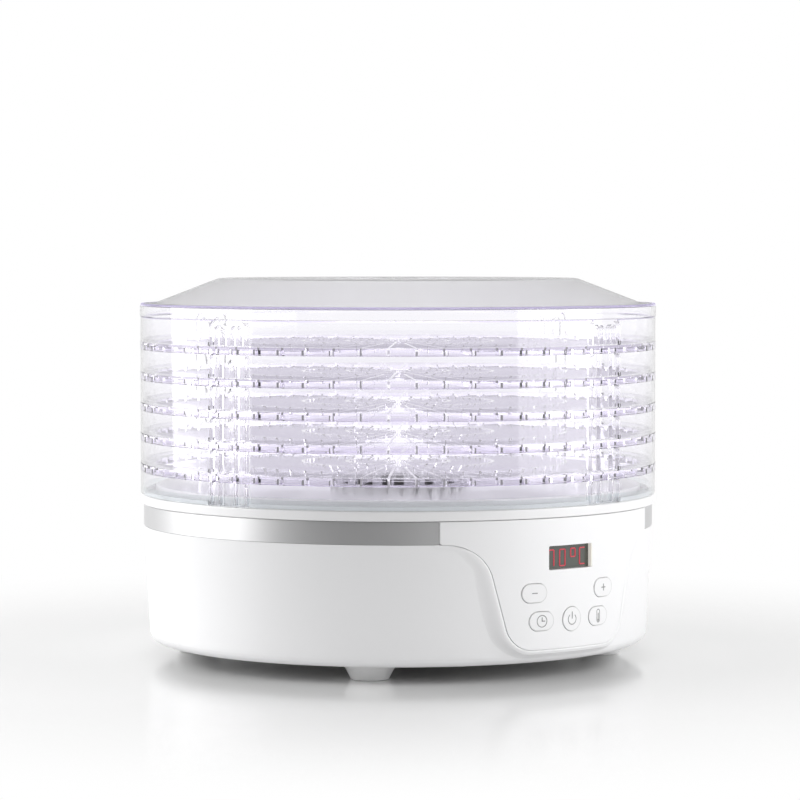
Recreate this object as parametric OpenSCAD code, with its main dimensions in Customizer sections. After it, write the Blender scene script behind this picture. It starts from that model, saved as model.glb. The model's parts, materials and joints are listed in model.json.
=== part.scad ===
// Round food dehydrator: a base with fan, heater and controls, five stacking clear trays and a clear lid.
// The origin is on the table under the centre of the stack, and the control panel faces -Y.

/* [Base housing] */
// How far the top of the wall and the silver band stay inside the deck's rim
band_inset = 1.6; // [1:0.1:2.6]
// How far the wall leans in from the band to its lower edge
wall_lean = 3.5; // [2:0.1:5]
// Thickness of the housing wall
wall_t = 2.6; // [2:0.1:3.2]
// Height of the housing's lower edge above the table
edge_z = 10; // [7:0.5:14]
// Radius that rounds the housing's lower edge
edge_round = 7; // [4:0.5:9]
// Height of the lower edge of the silver band
band_z = 84; // [80:0.5:88]
// Height of the silver band
band_h = 14; // [10:0.5:16]
// Thickness of the silver band
band_t = 1.4; // [1:0.1:1.8]
// Diameter of the hole that the mains cord leaves by
cord_hole_d = 10; // [7:0.5:12]
// Height of that hole above the lower edge
cord_hole_up = 20; // [14:1:30]

/* [Top deck] */
// How far the deck's rim stays inside the trays' outer face
rim_inset = 0.6; // [0:0.1:1.4]
// Height of the deck's rim
rim_h = 6.4; // [5:0.2:8]
// How far the raised platform stays inside the trays' outer face
platform_inset = 10; // [9.5:0.5:16]
// Height of the platform above the rim
platform_h = 5.6; // [3:0.2:7]
// Thickness of the deck
deck_t = 2.6; // [2:0.1:3.4]
// Radius of the raised air outlet
outlet_r = 44; // [38:1:48]
// Height of the raised air outlet above the platform
outlet_h = 8; // [5:0.5:8.5]
// Radius of the air outlet's shoulder
outlet_round = 5; // [3:0.5:5]
// Number of slots round the air outlet's shoulder
outlet_slots = 28; // [16:4:32]
// Width of those slots
outlet_slot_w = 5; // [3:0.2:6]

/* [Control panel] */
// How far the panel's curved face stands proud of the silver band
panel_proud = 0.7; // [0.5:0.1:1.2]
// Thickness of the panel
panel_t = 2.4; // [2:0.1:2.8]
// Half width of the panel across its shoulders
shoulder_x = 84.5; // [84:0.5:90]
// Half width of the panel at its lower edge
panel_low_x = 43; // [42:0.2:47]
// Half width that the panel's slanted sides reach at shoulder height
panel_waist_x = 60.4; // [57:0.2:60.6]
// Height of the panel's lower edge
panel_z = 19; // [18.5:0.5:21]
// Radius of the sweep from shoulder to side
sweep_r = 28; // [18:1:29]
// Radius of the panel's lower corners
panel_round = 18; // [12:0.5:21]
// Width of the moulded border of the housing round the panel
border_w = 2.5; // [2:0.5:5]
// Width of the display's recess
window_w = 35.6; // [33:0.2:38]
// Height of the display's recess
window_h = 14.6; // [12:0.2:15]
// Height of the middle of the display
window_z = 73.8; // [73:0.2:74]
// Depth of the display's recess
window_depth = 4; // [2.5:0.5:5]
// Thickness of the display's lens
lens_t = 1.4; // [1:0.1:2]
// Wall of the recess
bezel_t = 1.6; // [1.2:0.1:2]
// Distance from the panel's inner face to the circuit board behind it
board_back = 13.1; // [12.5:0.1:15]
// Width of that circuit board
board_w = 82; // [80:1:90]
// Thickness of the circuit boards
board_t = 1.6; // [1:0.2:2]

/* [Buttons] */
// Width of an oval button
button_w = 17.6; // [15:0.2:18.6]
// Height of an oval button
button_h = 11.4; // [10:0.2:12]
// Diameter of the round power button
power_d = 14.8; // [12:0.2:15.6]
// Distance of the plus and minus buttons from the middle
upper_x = 28.3; // [25:0.1:28.6]
// Height of the plus and minus buttons
upper_z = 53.3; // [52:0.1:54.6]
// Distance of the timer and temperature buttons from the middle
lower_x = 23.2; // [21:0.2:23.4]
// Height of the lower row of buttons
lower_z = 36.2; // [35.4:0.2:37.4]
// How far a button is pressed in
travel = 0.7; // [0.4:0.1:1]

/* [Feet] */
// Distance of a foot's middle from the edge of the bottom cover
foot_inset = 18.3; // [17:0.1:26]
// Diameter of a foot where it meets the base
foot_top_d = 31; // [24:1:34]
// Diameter of a foot on the table
foot_low_d = 24; // [18:1:26]
// Angle of the front feet either side of the panel
foot_turn = 47.5; // [40:0.5:55]

/* [Fan and heater] */
// Inner radius of the air duct
duct_r = 58; // [56:1:62]
// Wall of the air duct
duct_t = 2; // [1.6:0.1:2.6]
// Radius of the fan over its blades
fan_r = 51; // [44:1:53]
// Number of fan blades
blades = 7; // [5:1:9]
// Height of the fan's hub
fan_h = 15; // [12:1:17]
// Diameter of the motor
motor_d = 48; // [40:1:52]
// Length of the motor
motor_h = 34; // [28:1:36]
// Diameter of the motor's shaft
shaft_d = 4; // [3:0.5:5]
// Thickness of the heating wire's coils
coil_d = 3.6; // [2.6:0.2:4.4]
// Distance from one ring of heating wire to the next
coil_step = 12; // [8:0.5:14]
// Height of the heater's mica plates
mica_h = 9; // [8:0.5:12]
// Thickness of the bottom cover
cover_t = 2.6; // [2:0.1:3.4]
// Width of an air intake slot
slot_w = 2.6; // [1.6:0.2:3]
// Width of the mains board
mains_w = 70; // [60:1:90]
// Depth of the mains board from front to back
mains_l = 48; // [44:1:52]
// Diameter of the posts that carry the motor's bracket
post_d = 8; // [7:0.5:10]
// Height of the posts that carry the mains board
post_h = 8; // [6:0.5:10]
// Diameter of the thread of the cover's screws
screw_d = 2.8; // [2.4:0.1:3.2]

/* [Trays and lid] */
// Outer radius of the trays and the lid
tray_r = 165; // [155:0.5:175]
// Thickness of the clear walls
clear_t = 1.8; // [1.4:0.1:2.2]
// Height of one tray
tray_h = 19.05; // [17:0.05:22]
// Depth of the tray's floor grid
grid_h = 4.4; // [3:0.1:5]
// Radius of the ring in the middle of a tray's floor
hub_r = 7; // [5:0.5:12]
// Height of that ring above the floor
hub_up = 0.6; // [0.4:0.2:4]
// Thickness of a floor spoke
spoke_t = 1.5; // [1.2:0.1:1.8]
// Width of the posts between the pockets of a tray's rim
rim_post_w = 3; // [2:0.1:4]
// Thickness of the rim above those pockets
rim_top_t = 1.6; // [1.2:0.1:2]
// Number of spokes at the rim
spokes = 60; // [48:12:60]
// Width of the rings between the rows of spokes
rib_w = 2; // [1.6:0.1:3]
// Width of a tray's rim
rim_w = 9.5; // [8.5:0.5:12]
// Height of the ring that keeps the next tray in place
key_h = 2.4; // [1.6:0.2:3]
// Width of the ribbed pocket that keys one tray to the next
lug_w = 30; // [24:1:32]
// Thickness of the pocket's ribs
lug_t = 1.1; // [0.9:0.1:1.6]
// Angle of the first pocket past the panel
lug_turn = 11; // [0:1:30]
// Height of the lid's straight wall up to its ledge
lid_wall_h = 24; // [22:0.5:28]
// Width of the lid's flat ledge
ledge_w = 9; // [7:0.5:15]
// How far the lid's cone runs in to the flat top
cone_run = 40; // [32:1:48]
// Height of the lid's cone
cone_h = 15.8; // [12:0.2:20]
// Number of steam slots in the lid
lid_slots = 24; // [12:2:36]

/* [Fits] */
// Gap between a piece and its seat
seat = 0.25; // [0.15:0.05:0.3]
// Gap all round a button in its hole
button_gap = 0.25; // [0.2:0.05:0.35]
// Gap all round the silver band and the panel
trim_gap = 0.2; // [0.15:0.05:0.3]
// Radial gap of the shaft in the motor
shaft_gap = 0.05; // [0.03:0.01:0.08]

/* [Hidden] */
round_fn = 120;
small_fn = 48;
eps = 0.01;

deck_r = tray_r - rim_inset;
wall_top_r = deck_r - band_inset;
wall_low_r = wall_top_r - wall_lean;
panel_r = wall_top_r + panel_proud;
platform_r = tray_r - platform_inset;
cone_low_r = tray_r - ledge_w;
cone_top_r = cone_low_r - cone_run;
tray_in_r = tray_r - rim_w;
wall_top_z = band_z + band_h;
wall_straight_z = edge_z + edge_round;
rim_top_z = wall_top_z + rim_h;
platform_z = rim_top_z + platform_h;
pitch = tray_h + seat;
tray_count = 5;
lid_z = rim_top_z + seat + tray_count * pitch;
clear_in_r = tray_r - clear_t;
key_out_r = clear_in_r - 0.4;
key_in_r = key_out_r - 2;
band_in_r = wall_top_r - band_t;
recess_r = band_in_r - trim_gap;
panel_in_r = panel_r - panel_t;
cover_r = wall_low_r - edge_round - 4;
cover_z = edge_z + 0.6;
cover_top_z = cover_z + cover_t;
boss_ring_r = cover_r - 5.3;
boss_d = 9;
board_y = board_back - panel_in_r;
switch_h = 3.4;
plunger_h = 0.6;
button_back_y = board_y - switch_h - plunger_h - 2;
lens_y = window_depth - panel_r;
module_y = lens_y + lens_t + seat;
opening_top_z = window_z + window_h / 2 + bezel_t + 0.6;
panel_posts = [for (x = [-1, 1]) for (z = [panel_z + 11, window_z - 5.5]) [x * 37, z]];
bracket_z = cover_top_z + 11;
bracket_t = 2;
motor_z = bracket_z + bracket_t;
fan_z = motor_z + motor_h + 4;
heater_z = fan_z + fan_h + 6;
duct_top_z = platform_z - deck_t - 1.8 - seat;
grille_r = duct_r - 3;
post_ring_r = duct_r - 12;
foot_ring_r = cover_r - foot_inset;
mains_y = duct_r + duct_t + 18;
coil_rows = [for (i = [1:3]) duct_r - 2 - coil_step * i];
foot_angles = [-90 - foot_turn, -90 + foot_turn, 90 - foot_turn, 90 + foot_turn];
screw_angles = [0, 110, 180, 290];
arm_angles = [30, 150, 270];

// ---- shared outlines ----

// Unit vector along v
function unit(v) = v / norm(v);

// Points of the arc that rounds corner b of the path a-b-c
function corner(a, b, c, r) =
  let(
    n = 6 + floor(r / 3),
    u = unit(a - b),
    v = unit(c - b),
    half = acos(u * v) / 2,
    m = b + unit(u + v) * r / sin(half),
    s = b + u * r / tan(half),
    e = b + v * r / tan(half),
    start = atan2(s.y - m.y, s.x - m.x),
    sweep = (atan2(e.y - m.y, e.x - m.x) - start + 540) % 360 - 180
  )
  r == 0 ? [b] : [for (i = [0:n]) m + r * [cos(start + sweep * i / n), sin(start + sweep * i / n)]];

// Closed outline through corners given as [x, y, rounding radius]
function rounded(p) =
  let(n = len(p), q = [for (c = p) [c.x, c.y]])
  [for (i = [0:n - 1]) each corner(q[(i + n - 1) % n], q[i], q[(i + 1) % n], p[i][2])];

// Points along an arc
function arc(cx, cy, r, from, to, n = 6) =
  [for (i = [0:n]) let(a = from + (to - from) * i / n) [cx + r * cos(a), cy + r * sin(a)]];

// Outline of the control panel in X and Z, grown by g all round
function panel_outline(g) = rounded([
  [-shoulder_x - g, wall_top_z, 0],
  [-shoulder_x - g, band_z - g, 1.5],
  [-panel_waist_x - g, band_z - g, sweep_r - g],
  [-panel_low_x - g, panel_z - g, panel_round + g],
  [panel_low_x + g, panel_z - g, panel_round + g],
  [panel_waist_x + g, band_z - g, sweep_r - g],
  [shoulder_x + g, band_z - g, 1.5],
  [shoulder_x + g, wall_top_z, 0]
]);

// Outline of the display's recess in X and Z, grown by g all round
function window_outline(g) = rounded([
  for (c = [[-1, -1], [1, -1], [1, 1], [-1, 1]])
    [c.x * (window_w / 2 + g), window_z + c.y * (window_h / 2 + g), 1 + max(g, 0)]
]);

// Prism of an X-Z outline that runs from the depth y_front to y_back
module through_front(points, y_front, y_back) {
  translate([0, y_back, 0])
    rotate([90, 0, 0])
      linear_extrude(y_back - y_front) polygon(points);
}

// Ring between two radii and two heights
module ring(outer, inner, z0, z1) {
  difference() {
    translate([0, 0, z0]) cylinder(r = outer, h = z1 - z0, $fn = round_fn);
    translate([0, 0, z0 - 1]) cylinder(r = inner, h = z1 - z0 + 2, $fn = round_fn);
  }
}

// Flat oval with round ends, or a circle where it is no wider than high
module oval(w, h) {
  if (w > h) {
    square([w - h, h], center = true);
    for (side = [-1, 1]) translate([side * (w - h) / 2, 0]) circle(d = h, $fn = small_fn);
  } else {
    circle(d = h, $fn = small_fn);
  }
}

// Oval or round bar along Y about [x, z]
module oval_bar(x, z, w, h, y_front, y_back) {
  translate([x, y_back, z]) rotate([90, 0, 0]) linear_extrude(y_back - y_front) oval(w, h);
}

// Each button: x, z, width, height
function button_place(which) =
  which == "minus" ? [-upper_x, upper_z, button_w, button_h] :
  which == "plus" ? [upper_x, upper_z, button_w, button_h] :
  which == "timer" ? [-lower_x, lower_z, button_w, button_h] :
  which == "temperature" ? [lower_x, lower_z, button_w, button_h] :
  [0, lower_z, power_d, power_d];
button_names = ["minus", "plus", "timer", "power", "temperature"];

// ---- base ----

// White outer wall of the base, with the seat for the panel, the screw bosses and the cord's hole
module base_housing() {
  inner_low = wall_low_r - wall_t;
  inner_top = recess_r - wall_t;
  color("white")
  difference() {
    union() {
      rotate_extrude($fn = round_fn) polygon(concat(
        [[cover_r + seat, edge_z], [wall_low_r - edge_round, edge_z]],
        arc(wall_low_r - edge_round, wall_straight_z, edge_round, -90, 0),
        [[wall_top_r, band_z], [recess_r, band_z], [recess_r, wall_top_z], [inner_top, wall_top_z],
         [inner_top, band_z - 4], [inner_low, wall_straight_z + 2]],
        arc(wall_low_r - edge_round, wall_straight_z, edge_round - wall_t, 0, -90),
        [[cover_r + 2.6 + seat, edge_z + wall_t], [cover_r + 2.6 + seat, cover_top_z + 3],
         [cover_r + seat, cover_top_z + 3]]));
      intersection() {
        through_front(panel_outline(border_w), -200, -60);
        ring(panel_r - 0.6, wall_low_r - wall_t, panel_z - border_w, band_z);
      }
      for (a = screw_angles) rotate(a) {
        translate([boss_ring_r, 0, cover_top_z + seat]) cylinder(d = boss_d, h = 22, $fn = small_fn);
        translate([boss_ring_r, -1, cover_top_z + seat]) cube([wall_low_r - wall_t / 2 - boss_ring_r, 2, 22]);
      }
    }
    intersection() {
      through_front(panel_outline(trim_gap), -200, -60);
      ring(panel_r + 5, panel_in_r - trim_gap, panel_z - 2, wall_top_z + 1);
    }
    through_front(rounded([
      [-panel_low_x + 3, panel_z + 3, panel_round - 3],
      [panel_low_x - 3, panel_z + 3, panel_round - 3],
      [panel_waist_x - 5, opening_top_z, 3],
      [-panel_waist_x + 5, opening_top_z, 3]
    ]), -200, board_y + 40);
    for (a = screw_angles) rotate(a) translate([boss_ring_r, 0, 0]) cylinder(d = screw_d + 0.2, h = cover_top_z + 18, $fn = small_fn);
    translate([0, wall_low_r - 20, edge_z + cord_hole_up]) rotate([-90, 0, 0]) cylinder(d = cord_hole_d, h = 40, $fn = small_fn);
  }
}

// White top of the base: rim that the trays stand on, keyed ring, raised platform and the grille's seat
module top_deck() {
  skirt_r = recess_r - wall_t - seat;
  color("white")
  difference() {
    rotate_extrude($fn = round_fn) polygon(concat(
      [[skirt_r, wall_top_z - 5], [skirt_r, wall_top_z + seat], [deck_r - 0.4, wall_top_z + seat],
       [deck_r, wall_top_z + 0.7]],
      arc(deck_r - 1.2, rim_top_z - 1.2, 1.2, 0, 90, 4),
      [[key_out_r, rim_top_z], [key_out_r, rim_top_z + key_h], [key_in_r, rim_top_z + key_h],
       [key_in_r, rim_top_z], [platform_r, rim_top_z]],
      arc(platform_r - 1, platform_z - 1, 1, 0, 90, 3),
      [[grille_r + 2, platform_z], [grille_r + 2, platform_z - 1.8], [grille_r - 2, platform_z - 1.8],
       [grille_r - 2, duct_top_z + seat], [duct_r + duct_t + 1, duct_top_z + seat],
       [duct_r + duct_t + 1, platform_z - deck_t], [platform_r - deck_t, platform_z - deck_t],
       [platform_r - deck_t, rim_top_z - deck_t], [skirt_r - 2.4, rim_top_z - deck_t],
       [skirt_r - 2.4, wall_top_z - 5]]));
    for (a = [0:90:270]) rotate(lug_turn - 90 + a)
      translate([key_in_r - 3, -lug_w / 2 - 1.5, rim_top_z]) cube([8, lug_w + 3, key_h + 1]);
  }
}

// Silver band let into the top of the wall, open where the panel's shoulders pass
module trim_band() {
  color("silver")
  difference() {
    ring(wall_top_r + 0.1, band_in_r, band_z + trim_gap, wall_top_z - trim_gap);
    through_front(panel_outline(trim_gap * 2), -200, -60);
  }
}

// Curved white fascia with the window opening, five button holes and the posts of the control board
module control_panel() {
  color("white")
  difference() {
    union() {
      intersection() {
        through_front(panel_outline(0), -200, -60);
        ring(panel_r, panel_in_r, panel_z, wall_top_z - trim_gap);
      }
      for (p = panel_posts) intersection() {
        oval_bar(p.x, p.y, 5, 5, -200, board_y - seat);
        cylinder(r = panel_in_r + 1, h = 200, $fn = round_fn);
      }
      intersection() {
        through_front(window_outline(bezel_t), -200, lens_y + lens_t);
        cylinder(r = panel_in_r + 1, h = 200, $fn = round_fn);
      }
    }
    through_front(window_outline(0), -200, board_y - 2);
    for (name = button_names) {
      b = button_place(name);
      oval_bar(b[0], b[1], b[2] + 2 * button_gap, b[3] + 2 * button_gap, -200, board_y - 6);
    }
    for (p = panel_posts) oval_bar(p.x, p.y, 2, 2, board_y - 6, board_y + 1);
  }
}

// Dark flat lens at the bottom of the display's recess
module display_window() {
  color("darkslategray") through_front(window_outline(-trim_gap), lens_y, lens_y + lens_t);
}

// Numeric display behind the lens: its case with a shallow cell for each of the four characters
module display_module() {
  case_w = window_w - 3;
  case_h = window_h - 2;
  cell_w = 6.4;
  color("dimgray")
  difference() {
    translate([-case_w / 2, module_y, window_z - case_h / 2]) cube([case_w, board_y - seat - module_y, case_h]);
    for (i = [-1.5:1:1.5]) translate([i * case_w / 4.2, module_y, window_z]) cube([cell_w, 0.8, case_h - 2], center = true);
  }
}

// Upright circuit board behind the panel
module control_board() {
  color("seagreen")
  difference() {
    translate([-board_w / 2, board_y, panel_z + 4]) cube([board_w, board_t, window_z + 5.3 - panel_z]);
    for (p = panel_posts) oval_bar(p.x, p.y, 2.6, 2.6, board_y - 1, board_y + board_t + 1);
  }
}

// Button cap that follows the panel's curve, its retaining flange and its stem
module button(name) {
  b = button_place(name);
  color("white") union() {
    intersection() {
      oval_bar(b[0], b[1], b[2], b[3], -200, button_back_y);
      cylinder(r = panel_r + 0.5, h = 200, $fn = round_fn);
    }
    intersection() {
      oval_bar(b[0], b[1], b[2] + 2.4, b[3] + 2.4, -200, button_back_y);
      cylinder(r = panel_in_r - 0.3, h = 200, $fn = round_fn);
    }
    oval_bar(b[0], b[1], 3, 3, button_back_y - 1, board_y - switch_h - plunger_h - travel - 0.15);
  }
}

// Five push switches on the control board, one behind each button
module tact_switches() {
  color("black")
  for (name = button_names) {
    b = button_place(name);
    translate([b[0] - 3, board_y - switch_h - seat, b[1] - 3]) cube([6, switch_h, 6]);
    oval_bar(b[0], b[1], 3.4, 3.4, board_y - switch_h - plunger_h, board_y - switch_h);
  }
}

// Four small screws that hold the control board on the panel's posts
module board_screws() {
  color("gray")
  for (p = panel_posts) {
    oval_bar(p.x, p.y, 1.9, 1.9, board_y - 5, board_y + board_t + seat + 0.5);
    oval_bar(p.x, p.y, 4.4, 4.4, board_y + board_t + seat, board_y + board_t + seat + 1.4);
  }
}

// Mains board that switches the heater and the fan, on four posts of the bottom cover
module power_board() {
  z = cover_top_z + post_h + seat;
  color("darkgreen") translate([-mains_w / 2, mains_y, z]) {
    cube([mains_w, mains_l, board_t]);
    translate([6, 8, board_t - eps]) cube([19, 15, 15]);
    translate([mains_w - 38, 6, board_t - eps]) cube([28, 22, 20]);
    translate([16, mains_l - 12, board_t - eps]) cylinder(d = 10, h = 17, $fn = small_fn);
    translate([mains_w - 30, mains_l - 14, board_t - eps]) cube([22, 8, 9]);
  }
}

// Round underside of the base with the air intake, the posts inside it and the feet's sockets
module bottom_cover() {
  slot_count = 30;
  color("whitesmoke")
  difference() {
    union() {
      translate([0, 0, cover_z]) cylinder(r = cover_r, h = cover_t, $fn = round_fn);
      for (a = arm_angles) rotate(a)
        translate([post_ring_r, 0, cover_z]) cylinder(d = post_d, h = bracket_z - seat - cover_z, $fn = small_fn);
      for (x = [4, mains_w - 4]) for (y = [4, mains_l - 4])
        translate([x - mains_w / 2, mains_y + y, cover_z]) cylinder(d = post_d - 2, h = cover_t + post_h, $fn = small_fn);
      ring(duct_r - seat, duct_r - seat - 1.6, cover_z, cover_top_z + 4);
    }
    for (i = [0:slot_count - 1]) rotate(i * 360 / slot_count)
      translate([14, -slot_w / 2, cover_z - 1]) cube([post_ring_r - post_d - 14, slot_w, cover_t + 2]);
    for (a = arm_angles) rotate(a) translate([post_ring_r, 0, cover_z + 4]) cylinder(d = 2.6, h = 20, $fn = small_fn);
    for (a = foot_angles) rotate(a) translate([foot_ring_r, 0, cover_z - 1]) cylinder(d = 12, h = cover_t + 2, $fn = small_fn);
    for (a = screw_angles) rotate(a) translate([boss_ring_r, 0, cover_z - 1]) {
      cylinder(d = screw_d + 0.8, h = cover_t + 2, $fn = small_fn);
      cylinder(d = screw_d * 2.3 + 0.8, h = 2.6, $fn = small_fn);
    }
  }
}

// Four white feet, each with the peg that snaps into the bottom cover
module feet() {
  top = cover_z - seat;
  color("white")
  for (a = foot_angles) rotate(a) translate([foot_ring_r, 0, 0]) {
    rotate_extrude($fn = small_fn) polygon(concat(
      [[0, 0], [foot_low_d / 2 - 1.5, 0]],
      arc(foot_low_d / 2 - 1.5, 1.5, 1.5, -90, -20, 4),
      [[foot_top_d / 2, top - 2.5], [foot_top_d / 2, top], [5.7, top], [5.7, cover_top_z + 1], [0, cover_top_z + 1]]));
  }
}

// Four screws that hold the bottom cover to the housing's bosses
module cover_screws() {
  color("gray")
  for (a = screw_angles) rotate(a) translate([boss_ring_r, 0, cover_z + 0.1]) difference() {
    union() {
      cylinder(d = screw_d * 2.3, h = 1.3, $fn = small_fn);
      cylinder(d = screw_d, h = 16, $fn = small_fn);
    }
    for (t = [45, 135]) rotate(t) cube([screw_d * 1.4, 0.7, 1.4], center = true);
  }
}

// ---- fan, motor and heater ----

// Three-armed steel plate that carries the motor
module motor_bracket() {
  color("lightgray")
  difference() {
    union() {
      translate([0, 0, bracket_z]) cylinder(r = motor_d / 2 - 1, h = bracket_t, $fn = round_fn);
      for (a = arm_angles) rotate(a) {
        translate([0, -5, bracket_z]) cube([post_ring_r, 10, bracket_t]);
        translate([post_ring_r, 0, bracket_z]) cylinder(d = 10, h = bracket_t, $fn = small_fn);
      }
    }
    translate([0, 0, bracket_z - 1]) cylinder(d = 14, h = bracket_t + 2, $fn = small_fn);
    for (a = arm_angles) rotate(a) translate([post_ring_r, 0, bracket_z - 1]) cylinder(d = 3.2, h = bracket_t + 2, $fn = small_fn);
  }
}

// Three screws that hold the bracket on the cover's posts
module bracket_screws() {
  color("gray")
  for (a = arm_angles) rotate(a) translate([post_ring_r, 0, bracket_z + bracket_t]) {
    translate([0, 0, seat]) cylinder(d = 5.6, h = 1.8, $fn = small_fn);
    translate([0, 0, -8]) cylinder(d = 2.4, h = 9, $fn = small_fn);
  }
}

// Can-shaped motor with its bearing nose and the shaft's bore
module fan_motor() {
  can_r = motor_d / 2;
  color("silver")
  difference() {
    union() {
      rotate_extrude($fn = round_fn) polygon([[0, motor_z + seat], [can_r - 1.5, motor_z + seat],
        [can_r, motor_z + 1.5 + seat], [can_r, motor_z + motor_h - 3], [can_r - 3, motor_z + motor_h], [0, motor_z + motor_h]]);
      translate([0, 0, motor_z + motor_h - eps]) cylinder(d = 12, h = 2.5, $fn = small_fn);
    }
    translate([0, 0, motor_z + 4]) cylinder(r = shaft_d / 2 + shaft_gap, h = motor_h, $fn = small_fn);
    for (a = [0:60:300]) rotate(a) translate([can_r - 2, -3, motor_z + 10]) cube([4, 6, 14]);
  }
}

// Steel shaft that carries the fan
module motor_shaft() {
  color("gray") translate([0, 0, motor_z + 4 + seat]) cylinder(d = shaft_d, h = fan_z + fan_h - 3 - motor_z - 4 - seat, $fn = small_fn);
}

// Section of one fan blade: a thin curved strip
function blade_section(chord, camber, t) =
  let(r = (chord * chord / 4 + camber * camber) / (2 * camber), half = asin(chord / 2 / r))
  concat(arc(0, -r, r + t / 2, 90 - half, 90 + half, 6), arc(0, -r, r - t / 2, 90 + half, 90 - half, 6));

// Axial fan: domed hub and curved blades set at a pitch
module fan() {
  hub = 16;
  color("dimgray")
  difference() {
    union() {
      rotate_extrude($fn = round_fn) polygon(concat([[0, fan_z], [hub, fan_z]],
        arc(hub - 4, fan_z + fan_h - 4, 4, 0, 90, 5), [[0, fan_z + fan_h]]));
      intersection() {
        for (i = [0:blades - 1]) rotate(i * 360 / blades)
          translate([hub - 1.5, 0, fan_z + fan_h / 2])
            rotate([90, 0, 90]) rotate(38) linear_extrude(fan_r - hub + 3) polygon(blade_section(fan_h * 1.15, 2.2, 1.6));
        ring(fan_r, hub - 1.4, fan_z + 0.5, fan_z + fan_h - 0.5);
      }
    }
    translate([0, 0, fan_z - 1]) cylinder(r = shaft_d / 2 + 0.02, h = fan_h - 2, $fn = small_fn);
    difference() {
      translate([0, 0, fan_z - eps]) cylinder(r = hub - 2, h = fan_h - 6, $fn = small_fn);
      translate([0, 0, fan_z - 1]) cylinder(r = shaft_d / 2 + 3, h = fan_h, $fn = small_fn);
    }
  }
}

// Tube that leads the air from the intake past the fan and heater to the grille
module air_duct() {
  ledge_z = heater_z - seat;
  color("lightgray")
  difference() {
    rotate_extrude($fn = round_fn) polygon([[duct_r, cover_top_z + seat], [duct_r + duct_t, cover_top_z + seat],
      [duct_r + duct_t, duct_top_z], [duct_r, duct_top_z], [duct_r, ledge_z], [duct_r - 3, ledge_z], [duct_r - 3, ledge_z - 1.5],
      [duct_r, ledge_z - 4]]);
    translate([-8, duct_r - 4, cover_top_z]) cube([16, 8, 8]);
  }
}

// Crossed mica plates in a ring, notched for the coils of heating wire
module heater_frame() {
  ring_r = duct_r - 0.6;
  color("tan")
  difference() {
    union() {
      ring(ring_r, ring_r - 3, heater_z, heater_z + 2);
      for (a = [0:45:135]) rotate(a)
        translate([-ring_r + 0.5, -0.6, heater_z]) cube([2 * ring_r - 1, 1.2, mica_h]);
      translate([0, 0, heater_z]) cylinder(r = 7, h = mica_h, $fn = small_fn);
    }
    for (r = coil_rows) rotate_extrude($fn = round_fn)
      translate([r, heater_z + mica_h / 2 + 0.5]) square([coil_d + 0.6, coil_d + 0.6], center = true);
    translate([0, 0, heater_z - 1]) cylinder(r = 4, h = mica_h + 3, $fn = small_fn);
  }
}

// Three rings of coiled heating wire
module heater_coils() {
  color("peru")
  for (r = coil_rows) rotate_extrude($fn = round_fn)
    translate([r, heater_z + mica_h / 2 + 0.5]) circle(d = coil_d, $fn = 24);
}

// Cut-out that opens the heater's circuit when the duct gets too hot
module thermostat() {
  color("gainsboro") translate([0, -duct_r + 9.4, heater_z + mica_h + seat]) {
    cylinder(d = 15, h = 5.2, $fn = small_fn);
    translate([-2, -2, 0]) cube([4, 4, 6.6]);
  }
}

// Small probe that reads the air's temperature on its way out
module temperature_probe() {
  color("dimgray") translate([0, duct_r - 18, heater_z + mica_h + seat]) {
    cylinder(d = 4, h = 4, $fn = small_fn);
    translate([0, 0, 4]) sphere(d = 4, $fn = small_fn);
  }
}

// Raised round air outlet in the middle of the deck, with slots round its shoulder
module outlet_grille() {
  flange_z = platform_z - 1.8 + seat;
  top_z = platform_z + outlet_h;
  wall = 1.8;
  color("white")
  difference() {
    rotate_extrude($fn = round_fn) polygon(concat(
      [[outlet_r - wall, flange_z], [grille_r + 2 - trim_gap, flange_z], [grille_r + 2 - trim_gap, platform_z],
       [outlet_r, platform_z]],
      arc(outlet_r - outlet_round, top_z - outlet_round, outlet_round, 0, 90),
      [[0, top_z], [0, top_z - wall]],
      arc(outlet_r - outlet_round, top_z - outlet_round, outlet_round - wall, 90, 0)));
    for (i = [0:outlet_slots - 1]) rotate(i * 360 / outlet_slots)
      translate([outlet_r - 16, -outlet_slot_w / 2, platform_z + 1]) cube([20, outlet_slot_w, outlet_h]);
  }
}

// ---- trays and lid ----

// Four corners of the window between two rings and two spokes, about the X axis
function window_points(inner, outer, half, rib) =
  let(a = half - asin(rib / 2 / inner), b = half - asin(rib / 2 / outer))
  [inner * [cos(a), -sin(a)], outer * [cos(b), -sin(b)], outer * [cos(b), sin(b)], inner * [cos(a), sin(a)]];

// Rows of windows in a tray's floor: inner radius, outer radius, number
function floor_rows() =
  let(a = hub_r + 25 + rib_w, b = a + 26 + rib_w, c = (b + tray_in_r) / 2)
  [
    [hub_r + 1, a - rib_w, spokes / 4],
    [a, b - rib_w, spokes / 2],
    [b, c - rib_w, spokes],
    [c, tray_in_r, spokes]
  ];

// Upright rib or arch of the pocket, drawn as a frame of the given half width, open at the bottom
module lug_frame(half, z0, top, round) {
  difference() {
    polygon(rounded([[-half, z0, 0], [half, z0, 0], [half, top, round], [-half, top, round]]));
    polygon(rounded([[-half + lug_t, z0 - 1, 0], [half - lug_t, z0 - 1, 0],
      [half - lug_t, top - lug_t, round - 0.8], [-half + lug_t, top - lug_t, round - 0.8]]));
  }
}

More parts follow.
